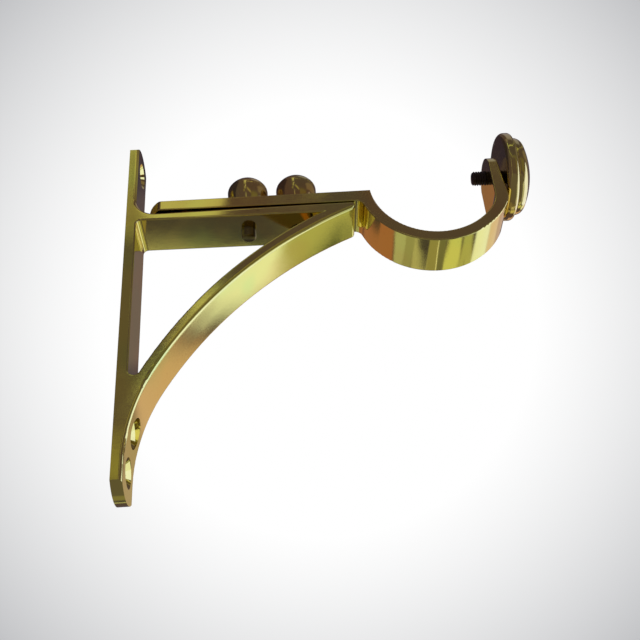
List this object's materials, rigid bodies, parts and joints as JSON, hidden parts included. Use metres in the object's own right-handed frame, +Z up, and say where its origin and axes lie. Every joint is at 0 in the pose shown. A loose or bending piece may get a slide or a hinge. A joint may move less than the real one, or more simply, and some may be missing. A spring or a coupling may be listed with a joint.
{
  "type": "curtain pole bracket",
  "caption": "Adjustable wall bracket for a curtain pole: braced cast arm, sliding bar with an open cup, thumb clamp screws and a disc-headed pole screw.",
  "frame": {"origin": "on the wall plane, midway across the bracket's width, level with the top face of the sliding bar", "axes": "+X out of the wall into the room, +Y along the curtain pole, +Z up"},
  "size_m": [0.1313, 0.029, 0.1253],
  "materials": {
    "cast_brass": "polished and lacquered casting",
    "bar_brass": "polished and lacquered bar",
    "turned_brass": "turned, polished and lacquered",
    "blackened_steel": "blackened thread"
  },
  "bodies": {
    "bracket": {"bracket_casting": "cast_brass"},
    "arm": {"cup_arm": "bar_brass"},
    "rear_stud": {"rear_clamp_stud": "blackened_steel"},
    "rear_knob": {"rear_clamp_knob": "turned_brass"},
    "front_stud": {"front_clamp_stud": "blackened_steel"},
    "front_knob": {"front_clamp_knob": "turned_brass"},
    "pole_stud": {"pole_screw_stud": "blackened_steel"},
    "pole_knob": {"pole_screw_knob": "turned_brass"}
  },
  "joints": [
    {"name": "arm_slide", "type": "slide", "parent": "bracket", "child": "arm", "axis": [1, 0, 0], "range_m": [0, 0.02]},
    {"name": "rear_clamp_rise", "type": "slide", "parent": "bracket", "child": "rear_stud", "axis": [0, 0, 1], "range_m": [0, 0.00244]},
    {"name": "rear_clamp_turn", "type": "hinge", "parent": "rear_stud", "child": "rear_knob", "pos_m": [0.038, 0, 0.009], "axis": [0, 0, 1], "range_deg": [0, 1080]},
    {"name": "front_clamp_rise", "type": "slide", "parent": "bracket", "child": "front_stud", "axis": [0, 0, 1], "range_m": [0, 0.00244]},
    {"name": "front_clamp_turn", "type": "hinge", "parent": "front_stud", "child": "front_knob", "pos_m": [0.0539, 0, 0.009], "axis": [0, 0, 1], "range_deg": [0, 1080]},
    {"name": "pole_screw_draw", "type": "slide", "parent": "arm", "child": "pole_stud", "axis": [1, 0, 0], "range_m": [0, 0.00487]},
    {"name": "pole_screw_turn", "type": "hinge", "parent": "pole_stud", "child": "pole_knob", "pos_m": [0.1216, 0, 0.0093], "axis": [1, 0, 0], "range_deg": [0, 2160]}
  ],
  "couplings": [
    {"joint": "rear_clamp_rise", "follows": "rear_clamp_turn", "m_per_rad": 0.00012892},
    {"joint": "front_clamp_rise", "follows": "front_clamp_turn", "m_per_rad": 0.00012892},
    {"joint": "pole_screw_draw", "follows": "pole_screw_turn", "m_per_rad": 0.00012892}
  ]
}
